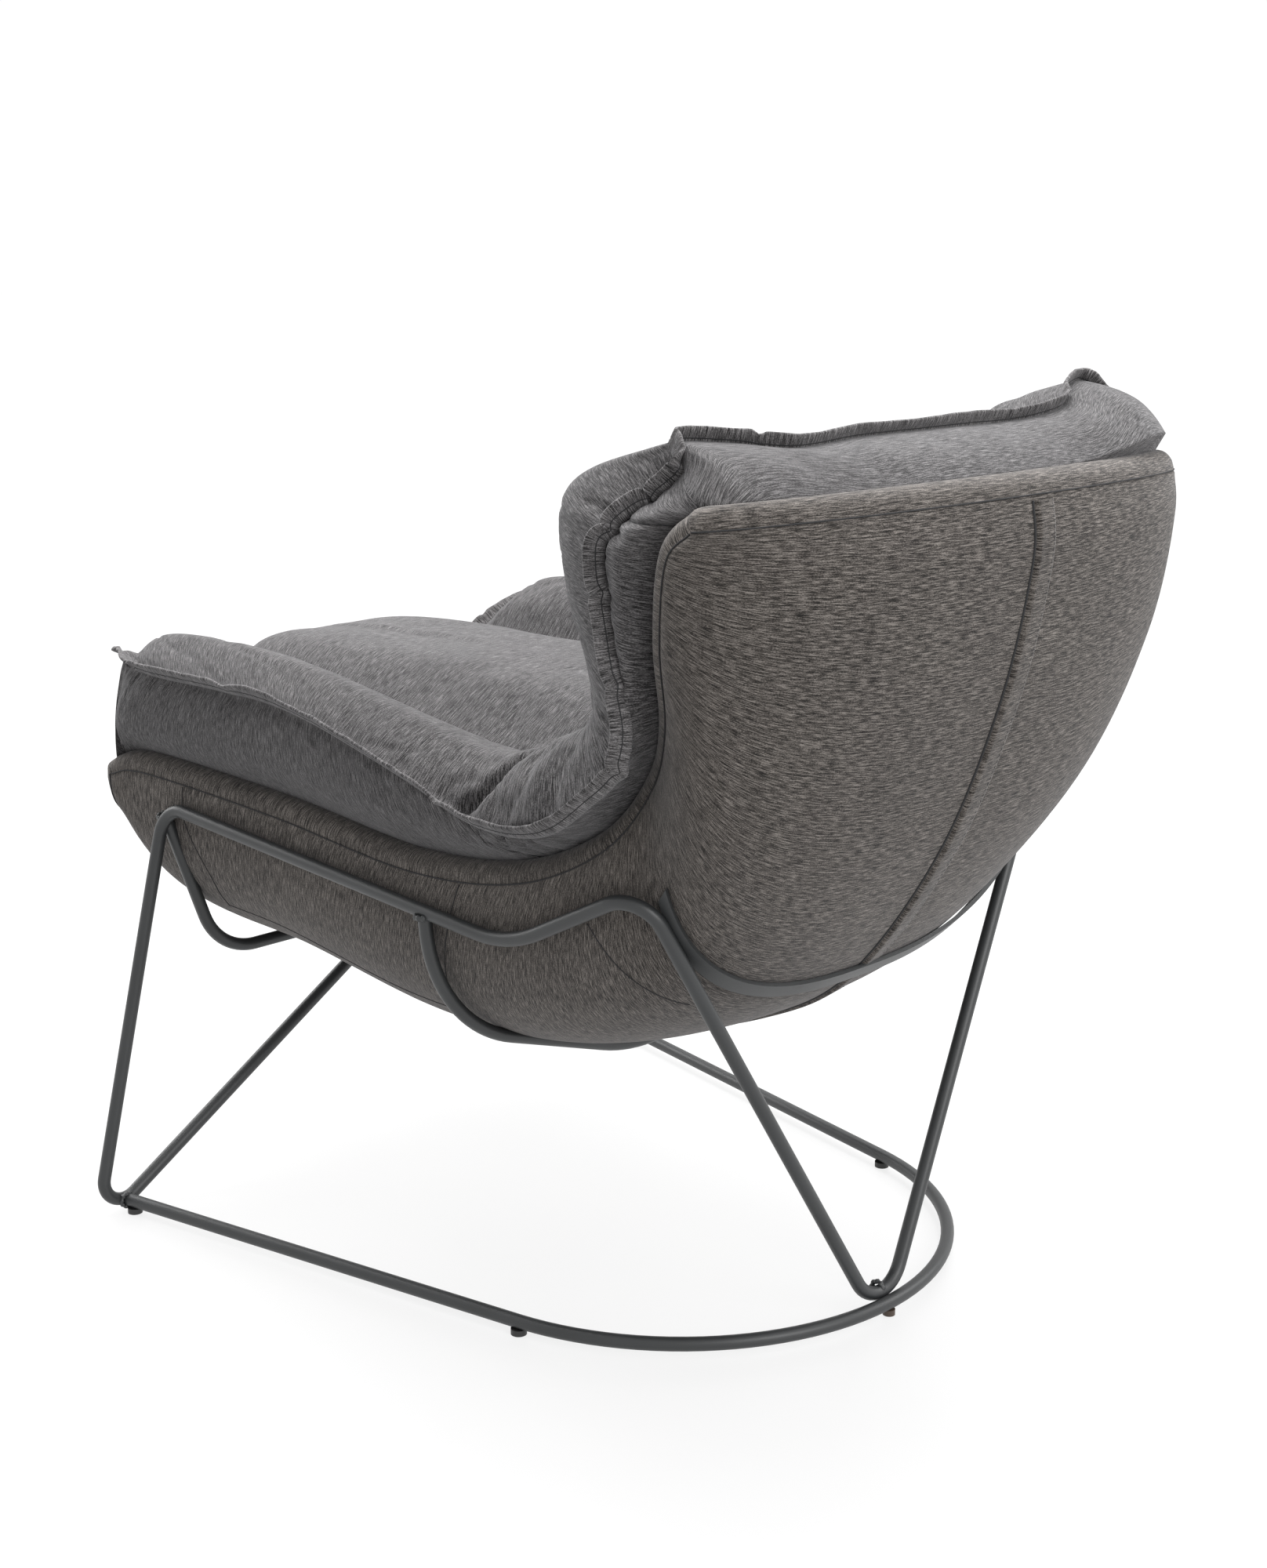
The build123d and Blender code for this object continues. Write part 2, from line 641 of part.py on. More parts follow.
def roll_rows(share):
    """Lower and upper lines of a side pad and of its bolster at a share, left side.

    The inner pad lies on the shell's lining and rises to the crest. The bolster
    lies over the roll on the shell's edge, and its upper line turns back under the
    seam.
    """
    inner_x = centre_half + rest_gap
    depth = pad_depth() + side_gap
    first = angle_at(share, inner_x, depth)
    lining = [layer_point(share, a, depth) for a in share_list(first, 90, 40)]
    middle, half = edge_line(share, 90)
    outward = side_outward(share)
    crown = half.length + roll_gap + rest_gap
    over_edge = []
    for turn in share_list(150, 52, 30):
        a = math.radians(turn)
        over_edge.append(middle + half.normalized() * (crown * math.cos(a)) + outward * (crown * math.sin(a)))
    rim = layer_point(share, 90, 0)
    lean = math.radians(blend(roll_lean, share))
    up = outward * math.cos(lean) + Vector(0, -outward.Z, outward.Y) * -math.sin(lean)
    seam = blend(seam_rise, share)
    valley = blend(valley_rise, share)
    crest = seam + crest_over_seam
    width = cushion_side - inner_x
    profile = [
        (inner_x, valley),
        (inner_x + 0.28 * width, valley + 0.62 * (crest - valley)),
        (inner_x + 0.60 * width, crest),
        (inner_x + 0.88 * width, crest - 0.25 * crest_over_seam),
        (cushion_side, seam),
        (cushion_side - 8, 0.5 * (seam + crown + 6)),
        (max(rim.X - 2, inner_x + 0.6 * width), crown + 6),
    ]

    def upper(start, end):
        line = []
        for place in share_list(start, end, 60):
            x = max(blend([p[0] for p in profile], place), inner_x)
            rise = blend([p[1] for p in profile], place)
            line.append(Vector(x, rim.Y + up.Y * rise, rim.Z + up.Z * rise))
        return line

    split_x = middle.X - half.length + bolster_start
    low, high = 0.0, 0.6
    for _ in range(24):
        place = (low + high) / 2
        if blend([p[0] for p in profile], place) < split_x:
            low = place
        else:
            high = place
    inner = even(lining, 15), even(upper(0, low - pad_split), 15)
    outer = even(over_edge, 15), even(upper(low + pad_split, 1), 15)
    return inner, outer


def build_side_pads():
    spans = [
        ("arm", seat_front, seat_end),
        ("corner", seat_end, corner_end),
        ("wing", corner_end, top_end),
    ]
    for name, start, end in spans:
        count = 1 + round((end - start) * (rows - 1))
        lines = [roll_rows(s) for s in share_list(start + pad_split, end - pad_split, count)]
        for kind, which in (("_pad_", 0), ("_bolster_", 1)):
            lower = [pair[which][0] for pair in lines]
            upper = [pair[which][1] for pair in lines]
            pads = both_sides(slab(lower, upper))
            nodes[name + kind + "left"] = pads["left"]
            nodes[name + kind + "right"] = pads["right"]


def solids_of(shape):
    pieces = shape if isinstance(shape, list) else [shape]
    return [solid for piece in pieces for solid in piece.solids()]


def main():
    build_shell()
    build_frame()
    build_fastenings()
    build_centre_pads()
    build_side_pads()
    os.makedirs("parts", exist_ok=True)
    everything = Compound([s for shape in nodes.values() for s in solids_of(shape)])
    box = everything.bounding_box()
    home = Pos(0, -(box.min.Y + box.max.Y) / 2, 0)
    for name, shape in nodes.items():
        moved = [home * solid for solid in solids_of(shape)]
        export_step(Compound(moved) if len(moved) > 1 else moved[0], "parts/" + name + ".step")


main()
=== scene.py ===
"""Looks of the upholstered bucket lounge chair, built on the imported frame. Metres.

The forms are worked out in the part's working millimetres, and placed() moves them to the
row's metres. Three measures place a point on them. share runs along the shell, from the
front lip (0) to the top of the back (1). angle runs across it in degrees, from the right
edge (-90) to the left edge (90). u runs across the cushion, from its middle (0) to its
seam (1). Heights, depths and radii are in millimetres where nothing else is said.
"""
import json
import math

import bpy
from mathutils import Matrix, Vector, noise


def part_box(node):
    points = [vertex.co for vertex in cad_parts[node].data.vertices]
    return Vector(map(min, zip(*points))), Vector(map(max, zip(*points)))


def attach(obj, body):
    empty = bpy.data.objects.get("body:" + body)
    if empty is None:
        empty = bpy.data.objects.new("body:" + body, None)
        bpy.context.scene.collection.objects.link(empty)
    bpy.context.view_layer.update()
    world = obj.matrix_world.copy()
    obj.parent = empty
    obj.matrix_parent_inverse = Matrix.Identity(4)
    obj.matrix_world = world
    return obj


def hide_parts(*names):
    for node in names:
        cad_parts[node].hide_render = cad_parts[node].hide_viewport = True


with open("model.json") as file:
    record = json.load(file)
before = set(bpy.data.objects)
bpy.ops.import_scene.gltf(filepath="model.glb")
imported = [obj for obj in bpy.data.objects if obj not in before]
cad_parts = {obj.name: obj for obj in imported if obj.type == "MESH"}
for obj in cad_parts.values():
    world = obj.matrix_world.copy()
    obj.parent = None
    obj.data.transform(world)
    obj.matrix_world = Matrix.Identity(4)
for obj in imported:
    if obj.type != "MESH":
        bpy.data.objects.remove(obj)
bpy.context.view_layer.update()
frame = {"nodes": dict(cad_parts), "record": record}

MM = 0.001
RING_RADIUS = 0.290             # metres, from the ring's centre back to the rear glide
glide_low, glide_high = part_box("rear_glide")
RING_CENTRE_Y = glide_low[1] + (glide_high[1] - glide_low[1]) / 2 - RING_RADIUS
SIDES = ((1, "left"), (-1, "right"))

# ------------------------------------------------------------ shell, as in the part's source
# Stations from lip to top: y and z of the middle line, half width, y and z of the side edge,
# and how square the section is.
SHELL = [
    (-568, 375, 312, -568, 461, 3.0),
    (-518, 281, 305.5, -512, 470, 2.9),
    (-371, 248, 299, -290, 460, 2.45),
    (-182, 218, 297, -78, 444, 2.3),
    (-24, 227, 297, 74, 462, 2.35),
    (114, 270, 290, 178, 510, 2.4),
    (228, 339, 282, 231, 572, 2.6),
    (331, 479, 313, 278, 640, 2.9),
    (395, 632, 341, 298, 717, 2.7),
    (425, 764, 350, 313, 789, 2.35),
    (422, 823, 343, 334, 814, 2.0),
]
SHELL_T = 40.2                  # from the outer cover's face to the lining's
CUSHION_GAP = 1.5               # between the lining and the cushion

# ------------------------------------------------------------ cushion
# Its main lines from front to top, as (y, z) at evenly spaced shares, and their x.
CENTRE = [(-580, 543), (-558, 592), (-300, 604), (-90, 601), (50, 602), (126, 608),
          (150, 640), (180, 695), (204, 755), (222, 832), (306, 873)]
VALLEY = [(-566, 525), (-503, 552), (-290, 556), (-85, 548), (50, 556), (124, 588),
          (168, 624), (203, 680), (224, 745), (236, 820), (306, 869)]
CREST = [(-545, 586), (-480, 627), (-290, 626), (-90, 599), (30, 578), (112, 598),
         (164, 632), (158, 682), (134, 748), (140, 832), (258, 878)]
FLANGE = [(-505, 607), (-466, 601), (-420, 598), (-331, 599), (-240, 598), (-165, 588),
          (-90, 571), (-20, 553), (40, 534), (85, 527), (130, 529), (172, 542), (215, 573),
          (250, 604), (262, 640), (251, 686), (240, 735), (231, 775), (234, 804), (252, 834),
          (282, 866)]
CENTRE_X, VALLEY_X, CREST_X, FLANGE_X = 0.0, 190.0, 282.0, 343.0
FALL, FALL_X = 0.10, 0.52       # point between middle and valley: share of the fall, and of the x
RISE, RISE_X = 0.64, 0.5        # point between valley and crest
SHOULDER = 0.36                 # point between crest and seam: share of the fall,
SHOULDER_X = (0.45, 0.55)       # and what the crest's x and the seam's count for
TOP_CORNER_X = 298.0            # the flange draws in towards the top corner
FRONT_CORNER_X = 328.0          # and a little at the front corner
TOP_CORNER_SINK = 9.0           # how much lower the top corner lies than its lines
FAR_LIFT = 24.0                 # the right top corner is plumped up more than the left

# Its sewing. A seam that runs askew has a share where it meets the perimeter seam, a length
# of shell by which its other end lies further along, and a depth.
GROOVE_U, GROOVE = 0.335, 5.0   # seams between seat or back and the side parts: u, and depth
CROSS_SEAM, CROSSING = 0.5, 7.0             # seam between seat and back: share, and depth
LOW_MITRE, LOW_MITRE_RUN, LOW_MITRE_DEPTH = 0.405, 0.20, 12.0
HIGH_MITRE, HIGH_MITRE_RUN, HIGH_MITRE_DEPTH = 0.925, -0.10, 4.0
LOW_GUSSET_SEAM, LOW_GUSSET_RUN = 0.402, 0.012
HIGH_GUSSET_SEAM, HIGH_GUSSET_RUN = 0.921, 0.02
GUSSET_SEAM_DEPTH = 4.5
GUSSET_BULGE = 19.0             # how far the side panel bellies beyond the seam
FLANGE_W = 14.0                 # the two layers of fabric beyond the seam
FLANGE_STITCHES = 0.22          # where its stitch line runs, as a share of its width
FLANGE_SEAM_R, GUSSET_SEAM_R = 0.6, 0.8
FLANGE_WAVE, FLANGE_RIPPLE = 3.4, 1.2       # up and down, long and short
FLANGE_UNEVEN = 0.16            # how much its width varies
# Folds in the flange: share, and depth. Then one along the front and one along the top, by u.
KINKS = [(0.055, 5.0), (0.17, 2.5), (0.385, 4.0), (0.655, 6.0), (0.745, 3.5), (0.825, 4.0),
         (0.905, 6.5), (0.958, 4.0)]
FRONT_KINK, FRONT_KINK_DEPTH = 0.52, 3.0
TOP_KINK, TOP_KINK_DEPTH = 0.42, 4.0
# Outline of the flange's section: (reach, height). A reach below zero is in millimetres
# into the cushion, any other is a share of the flange's width.
FLANGE_SECTION = [(-5, 1.4), (0.12, 1.7), (0.22, 1.2), (0.34, 1.7), (0.65, 1.7), (0.93, 1.5),
                  (1.0, 0.0), (0.93, -1.5), (0.65, -1.7), (0.34, -1.7), (0.22, -1.2),
                  (0.12, -1.7), (-5, -1.4)]

# Filled cloth: heights and depths of its forms, and where they lie.
SWELL, CREASE, PUCKER = 3.0, 1.6, 2.6       # on the upper face
SIDE_SWELL, SIDE_PUCKER = 3.0, 3.0          # on the side panels
FRONT_CREASE, FRONT_PUCKER = 3.2, 4.0       # on the front and the band behind the top seam
FRONT_BULGE, BAND_BULGE = 9.0, 13.0
INNER_CORNER, CORNER_FOLD = 0.50, 1.8       # pulled corner between arm and back
SIDE_CORNER, SIDE_CORNER_FOLD = 0.49, 11.0  # the same on the side panel
WEDGE, WEDGE_SHARE, WEDGE_U = 10.0, 0.515, 0.84         # panel that bulges out of that corner
# Where the cushion comes down on the shell's edge and where it tucks in, as shares of the
# shell's thickness: depth inside its outer surface, and way out beyond its edge.
LANDING_DEPTH, LANDING_OUT = 0.56, 0.47
TUCK_DEPTH, TUCK_OUT = 0.9, 3.0             # this way out is in millimetres

# ------------------------------------------------------------ fineness of the meshes
SHARE_STEP = 0.004              # half the stretch over which a way along the shell is taken
U_STEP, ANGLE_STEP = 0.01, 0.5  # the same across the cushion and across the shell
SHELL_SECTIONS = 121
ROLL_POINTS = 14                # over the edge's roll, both ends counted
ROLL_SECTIONS = 91              # along the lip's roll or the top's
LINING_POINTS = 61
COVER_GUIDE = 16                # column along which the shell's cloth is measured
CLOSURE_SECTIONS, FLAP_POINTS = 140, 15
CUSHION_SECTIONS = 241
CUSHION_HALF = 76               # points from the cushion's middle to its seam
CUSHION_GUIDE = 110             # column along which the cushion's cloth is measured
UNDERSIDE_POINTS = 60
GUSSET_POINTS = 30              # from the perimeter seam down to the shell's edge
CAP_HALF = 90                   # from the middle of the cushion's front or top to its corner
FLANGE_SIDE, FLANGE_TOP = 420, 110          # along one side, and along half the top
EDGE_SEAM_POINTS, END_SEAM_POINTS = 260, 120
PANEL_SEAM_POINTS, SHORT_SEAM_POINTS = 60, 40
STITCH_STEPS = 400              # steps by which a row of stitches finds its places
THREAD_SIDES = 6


# ------------------------------------------------------------ numbers and places
def blend(values, share):
    """Catmull-Rom curve through evenly spaced numbers, at a share of its length."""
    last = len(values) - 1
    place = min(max(share, 0.0), 1.0) * last
    i = min(int(place), last - 1)
    f = place - i
    before = values[i - 1] if i > 0 else 2 * values[0] - values[1]
    after = values[i + 2] if i + 2 <= last else 2 * values[last] - values[last - 1]
    here, there = values[i], values[i + 1]
    bend = (2 * before - 5 * here + 4 * there - after) * f * f
    twist = (3 * here - before - 3 * there + after) * f ** 3
    return here + ((there - before) * f + bend + twist) / 2


def mix(a, b, t):
    """Point between two pairs of numbers."""
    return a[0] + (b[0] - a[0]) * t, a[1] + (b[1] - a[1]) * t


def steps(start, end, count):
    """Evenly spaced numbers, both ends among them."""
    return [start + (end - start) * i / (count - 1) for i in range(count)]


def smooth(value, low, high):
    """0 at low, 1 at high, with no corner between; high may be the smaller."""
    t = min(max((value - low) / (high - low), 0.0), 1.0)
    return t * t * (3 - 2 * t)


def bump(value, width):
    """1 at zero, falling to 0 over a few widths."""
    return math.exp(-(value / width) ** 2)


def placed(point):
    """From the part's working millimetres to the row's metres."""
    return Vector((point[0] * MM, point[1] * MM + RING_CENTRE_Y, point[2] * MM))


def unplaced(point):
    """From the row's metres to the part's working millimetres."""
    return Vector((point[0] / MM, (point[1] - RING_CENTRE_Y) / MM, point[2] / MM))


# ------------------------------------------------------------ shell surface
MIDDLE_LINE, SIDE_EDGE = 0, 1   # the two lines that station() gives a point of
AT_EDGE = 89.9                  # angles beyond this are on the shell's side edges
AT_END = 0.001                  # shares nearer than this to 0 or 1 are on the lip or the top
OPEN_SIDE = Vector((0, -0.3, 1))            # way out of the bowl


def station(share):
    """Points of the middle line and of the side edge, and the section's squareness."""
    cy, cz, rx, ry, rz, square = zip(*SHELL)
    centre = Vector((0, blend(cy, share), blend(cz, share)))
    rim = Vector((blend(rx, share), blend(ry, share), blend(rz, share)))
    return centre, rim, blend(square, share)


def run_of(share, which):
    """Way of the middle line or of the side edge, seen from the side."""
    ahead = station(min(share + SHARE_STEP, 1.0))[which]
    behind = station(max(share - SHARE_STEP, 0.0))[which]
    return Vector((0, ahead.y - behind.y, ahead.z - behind.z)).normalized()


def shell_point(share, angle, depth):
    """Point of the shell at a depth inside its outer surface."""
    centre, rim, square = station(share)
    run = run_of(share, MIDDLE_LINE)
    centre = centre - Vector((0, run.z, -run.y)) * depth
    a = math.radians(angle)
    reach = (abs(math.sin(a)) ** square + abs(math.cos(a)) ** square) ** (1 / square)
    rise = 1 - math.cos(a) / reach
    y = centre.y + (rim.y - centre.y) * rise
    z = centre.z + (rim.z - centre.z) * rise
    return Vector(((rim.x - depth) * math.sin(a) / reach, y, z))


def shell_normal(share, angle):
    """Way out of the outer surface."""
    low, high = max(share - SHARE_STEP, 0.0), min(share + SHARE_STEP, 1.0)
    along = shell_point(high, angle, 0) - shell_point(low, angle, 0)
    across = shell_point(share, angle + ANGLE_STEP, 0)
    across -= shell_point(share, angle - ANGLE_STEP, 0)
    return along.cross(across).normalized()


def angle_at(share, x):
    """Angle at which the outer surface is x away from the middle, on the same side."""
    low, high = 0.0, 90.0
    for _ in range(22):
        middle = (low + high) / 2
        if shell_point(share, middle, 0).x < abs(x):
            low = middle
        else:
            high = middle
    return math.copysign(low, x)


def on_shell(share, x, lift):
    """Point above the outer surface, x away from the middle."""
    angle = angle_at(share, x)
    return shell_point(share, angle, 0) + shell_normal(share, angle) * lift


def edge_outward(share, angle):
    """Way in which the shell's edge bulges: the sides, the lip or the top."""
    side = Vector((0, -run_of(share, SIDE_EDGE).z, run_of(share, SIDE_EDGE).y))
    if abs(angle) > AT_EDGE and AT_END < share < 1 - AT_END:
        return side
    low, high = max(angle - 2, -90), min(angle + 2, 90)
    across = shell_point(share, high, SHELL_T / 2) - shell_point(share, low, SHELL_T / 2)
    wall = shell_point(share, angle, 0) - shell_point(share, angle, SHELL_T)
    outward = across.cross(wall).normalized()
    if outward.dot(OPEN_SIDE) < 0:
        outward = -outward
    return (side + outward).normalized() if abs(angle) > AT_EDGE else outward


def roll_arc(share, angle):
    """Points over the edge's roll, between the outer surface and the lining."""
    outer = shell_point(share, angle, 0)
    inner = shell_point(share, angle, SHELL_T)
    middle, half = (outer + inner) / 2, (outer - inner) / 2
    outward = edge_outward(share, angle)
    points = []
    for turn in steps(0, math.pi, ROLL_POINTS)[1:-1]:
        pinch = 1 - 0.05 * bump(turn, 0.25)
        level = middle + half * (math.cos(turn) * pinch)
        points.append(level + outward * (half.length * math.sin(turn)))
    return points


# ------------------------------------------------------------ pieces
TUBE_ASIDE = Vector((0.31, 0.17, 0.93))     # ways that no thread follows, to start its ring from
STITCH_ASIDE = Vector((0.2, 0.3, 0.93))
STITCH_GAP = 0.32               # between two stitches, as a share of their pitch


def linked(name, data):
    """New object in the scene for a mesh, a light or the camera."""
    thing = bpy.data.objects.new(name, data)
    bpy.context.collection.objects.link(thing)
    return thing


def smooth_piece(name, points, faces, material):
    """Smooth mesh object from points in working millimetres."""
    mesh = bpy.data.meshes.new(name)
    mesh.from_pydata([placed(p)[:] for p in points], [], faces)
    mesh.materials.append(material)
    for polygon in mesh.polygons:
        polygon.use_smooth = True
    return linked(name, mesh)


def add_mesh(name, rows, material, closed_across=False, guide=None, turned=False):
    """Grid mesh from rows of points in working millimetres. Its UV map is in metres: the
    yarns follow the rows, or cross them where turned is set. The length along the piece is
    measured on one column of points, the guide, which is the middle one if none is given."""
    width = len(rows[0])
    if guide is None:
        guide = width // 2
    faces = []
    for i in range(len(rows) - 1):
        for j in range(width if closed_across else width - 1):
            k = (j + 1) % width
            faces.append((i * width + j, i * width + k, (i + 1) * width + k, (i + 1) * width + j))
    across, along = [], [0.0]
    for row in rows:
        line = [0.0]
        for here, there in zip(row, row[1:]):
            line.append(line[-1] + (there - here).length * MM)
        across.append(line)
    for behind, ahead in zip(rows, rows[1:]):
        along.append(along[-1] + (ahead[guide] - behind[guide]).length * MM)
    piece = smooth_piece(name, [p for row in rows for p in row], faces, material)
    mesh = piece.data
    layer = mesh.uv_layers.new(name="cloth")
    for polygon in mesh.polygons:
        for loop in polygon.loop_indices:
            i, j = divmod(mesh.loops[loop].vertex_index, width)
            layer.data[loop].uv = (along[i], across[i][j]) if turned else (across[i][j], along[i])
    return piece


def finish_piece(piece, slot, *replaced):
    """Fix a piece to the chair's one body, and hide the nodes it stands for. The slot it is given
    is not used.
    """
    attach(piece, "root")
    if replaced:
        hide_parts(*replaced)
    return piece


def thread_ring(centre, way, aside, radius):
    """Ring of points round a thread."""
    side = way.cross(aside).normalized()
    up = side.cross(way)
    turns = [2 * math.pi * k / THREAD_SIDES for k in range(THREAD_SIDES)]
    return [centre + side * (math.cos(t) * radius) + up * (math.sin(t) * radius) for t in turns]


def seam(name, points, radius, slot="shell_fabric"):
    """Line of thread, a thin tube along the points."""
    rows = []
    for i, point in enumerate(points):
        ahead = points[min(i + 1, len(points) - 1)]
        behind = points[max(i - 1, 0)]
        rows.append(thread_ring(point, (ahead - behind).normalized(), TUBE_ASIDE, radius))
    return finish_piece(add_mesh(name, rows, thread, closed_across=True), slot)


def stitches(name, points, pitch):
    """Short closed stitches of thread along a line."""
    spots = []
    length = 0.0
    for here, there in zip(points, points[1:]):
        length += (there - here).length
        if length >= pitch:
            spots.append((here, (there - here).normalized()))
            length = 0.0
    rings, faces = [], []
    for centre, way in spots:
        start = len(rings)
        half = way * (pitch * (1 - STITCH_GAP) / 2)
        for end, size in ((-half, 0.25), (-half * 0.6, 0.6), (half * 0.6, 0.6), (half, 0.25)):
            rings += thread_ring(centre + end, way, STITCH_ASIDE, size)
        for ring in range(3):
            for turn in range(THREAD_SIDES):
                a = start + ring * THREAD_SIDES + turn
                b = start + ring * THREAD_SIDES + (turn + 1) % THREAD_SIDES
                faces.append((a, b, b + THREAD_SIDES, a + THREAD_SIDES))
        for first in (start, start + 3 * THREAD_SIDES):
            faces.append(tuple(first + k for k in range(THREAD_SIDES)))
    return finish_piece(smooth_piece(name, rings, faces, thread), "shell_fabric")


# ------------------------------------------------------------ materials
MIX_FACTOR, MIX_A, MIX_B, MIX_RESULT = 0, 6, 7, 2       # a Mix node's sockets for colours
# Chenille: scale of the noise along, across and through the yarns, and its share of the tone.
YARNS = (
    ((85.0, 1150.0, 1.0), 0.46),
    ((30.0, 700.0, 1.0), 0.22),
    ((600.0, 1800.0, 1.0), 0.32),
)
COAT_DARK, COAT_LIGHT = 0.86, 1.12          # span of a coat's tone
COAT_GLOSSY, COAT_DULL = 0.06, 0.08         # span of its roughness, below and above


def new_material(name, roughness):
    """Material with its nodes, its links and its shader."""
    material = bpy.data.materials.new(name)
    material.use_nodes = True
    shader = material.node_tree.nodes["Principled BSDF"]
    shader.inputs["Roughness"].default_value = roughness
    return material, material.node_tree.nodes, material.node_tree.links, shader


def ramp(nodes, stops):
    """Colour ramp through (place, colour) stops."""
    node = nodes.new("ShaderNodeValToRGB")
    while len(node.color_ramp.elements) < len(stops):
        node.color_ramp.elements.new(0.5)
    for element, (place, color) in zip(node.color_ramp.elements, stops):
        element.position = place
        element.color = (*color, 1)
    return node


def noise_node(nodes, links, vector, scale, detail=3.0, roughness=0.5):
    """Noise texture over the given coordinates."""
    node = nodes.new("ShaderNodeTexNoise")
    node.inputs["Scale"].default_value = scale
    node.inputs["Detail"].default_value = detail
    node.inputs["Roughness"].default_value = roughness
    links.new(vector, node.inputs["Vector"])
    return node


def relief(nodes, links, shader, height, strength, distance):
    """Fine relief of the surface; the distance is in metres."""
    node = nodes.new("ShaderNodeBump")
    node.inputs["Strength"].default_value = strength
    node.inputs["Distance"].default_value = distance
    links.new(height, node.inputs["Height"])
    links.new(node.outputs["Normal"], shader.inputs["Normal"])


def chenille(name, dark, middle, light):
    """Short pile chenille: fine yarns that follow the rows, with long and short flecks."""
    material, nodes, links, shader = new_material(name, 0.92)
    coords = nodes.new("ShaderNodeTexCoord")
    total = None
    for scale, share in YARNS:
        stretch = nodes.new("ShaderNodeMapping")
        stretch.inputs["Scale"].default_value = scale
        links.new(coords.outputs["UV"], stretch.inputs["Vector"])
        fleck = noise_node(nodes, links, stretch.outputs["Vector"], 1.0, 2.0, 0.55)
        add = nodes.new("ShaderNodeMath")
        add.operation = "MULTIPLY_ADD"
        add.inputs[1].default_value = share
        add.inputs[2].default_value = 0.0
        links.new(fleck.outputs["Fac"], add.inputs[0])
        if total:
            links.new(total.outputs[0], add.inputs[2])
        total = add
    tone = ramp(nodes, [(0.41, dark), (0.49, middle), (0.60, light)])
    links.new(total.outputs[0], tone.inputs["Fac"])
    cloud = noise_node(nodes, links, coords.outputs["UV"], 8.0, 3.0, 0.55)
    clouds = ramp(nodes, [(0.35, (0.78, 0.78, 0.79)), (0.65, (1.0, 1.0, 1.0))])
    links.new(cloud.outputs["Fac"], clouds.inputs["Fac"])
    wide = nodes.new("ShaderNodeMix")
    wide.data_type = "RGBA"
    wide.blend_type = "MULTIPLY"
    wide.inputs[MIX_FACTOR].default_value = 0.5
    links.new(tone.outputs["Color"], wide.inputs[MIX_A])
    links.new(clouds.outputs["Color"], wide.inputs[MIX_B])
    links.new(wide.outputs[MIX_RESULT], shader.inputs["Base Color"])
    relief(nodes, links, shader, total.outputs[0], 0.6, 0.0010)
    shader.inputs["Sheen Weight"].default_value = 0.16
    shader.inputs["Sheen Roughness"].default_value = 0.45
    shader.inputs["Sheen Tint"].default_value = (0.78, 0.78, 0.80, 1)
    shader.inputs["Specular IOR Level"].default_value = 0.15
    return material


def coated(name, color, roughness, grain, strength, metallic=0.0):
    """Powder coat, moulded plastic, steel, foam, plywood or thread, with a grain of its own."""
    material, nodes, links, shader = new_material(name, roughness)
    coords = nodes.new("ShaderNodeTexCoord")
    fine = noise_node(nodes, links, coords.outputs["Object"], grain, 2.0, 0.5)
    broad = noise_node(nodes, links, coords.outputs["Object"], 14.0, 3.0, 0.5)
    tones = ramp(nodes, [(0.3, tuple(c * COAT_DARK for c in color)),
                         (0.7, tuple(c * COAT_LIGHT for c in color))])
    links.new(broad.outputs["Fac"], tones.inputs["Fac"])
    links.new(tones.outputs["Color"], shader.inputs["Base Color"])
    gloss = nodes.new("ShaderNodeMapRange")
    gloss.inputs["To Min"].default_value = roughness - COAT_GLOSSY
    gloss.inputs["To Max"].default_value = roughness + COAT_DULL
    links.new(fine.outputs["Fac"], gloss.inputs["Value"])
    links.new(gloss.outputs["Result"], shader.inputs["Roughness"])
    relief(nodes, links, shader, fine.outputs["Fac"], strength, 0.0004)
    shader.inputs["Metallic"].default_value = metallic
    return material


shell_cloth = chenille(
    "shell_chenille", dark=(0.0068, 0.0061, 0.0056), middle=(0.0443, 0.0388, 0.0345),
    light=(0.1702, 0.1532, 0.1404))
# The flange is sewn from the cushion's own cloth. This copy of it is painted lighter, a painted
# highlight that stands in for the light the flange catches.
flange_cloth_painted_lighter = chenille(
    "flange_chenille_painted_lighter", dark=(0.0104, 0.0100, 0.0100), middle=(0.0577, 0.0548, 0.0555),
    light=(0.1924, 0.1850, 0.1865))
cushion_cloth = chenille(
    "cushion_chenille", dark=(0.0064, 0.0061, 0.0062), middle=(0.0380, 0.0360, 0.0366),
    light=(0.1406, 0.1350, 0.1364))
thread = coated("seam_thread", (0.012, 0.012, 0.013), 0.9, grain=900.0, strength=0.5)
paint = coated("powder_coat", (0.020, 0.0215, 0.0225), 0.42, grain=1500.0, strength=0.25)
black_plastic = coated("glide_black", (0.012, 0.012, 0.012), 0.5, grain=700.0, strength=0.3)
brown_plastic = coated("glide_brown", (0.045, 0.028, 0.018), 0.5, grain=700.0, strength=0.3)
steel = coated("plated_steel", (0.50, 0.51, 0.52), 0.38, grain=900.0, strength=0.2, metallic=1.0)
foam = coated("open_foam", (0.62, 0.58, 0.46), 0.95, grain=350.0, strength=0.9)
plywood = coated("plywood", (0.45, 0.30, 0.17), 0.7, grain=120.0, strength=0.3)

by_slot = {
    "frame_paint": paint, "fastener_steel": steel, "glide_plastic": black_plastic,
    "rear_glide_plastic": brown_plastic, "shell_fabric": shell_cloth,
    "cushion_fabric": cushion_cloth, "foam": foam, "core_plywood": plywood,
}
for part in frame["record"]["subparts"]:
    solid = frame["nodes"][part["node"]]
    for slot in solid.material_slots:
        slot.material = by_slot[part["material_slot"]]


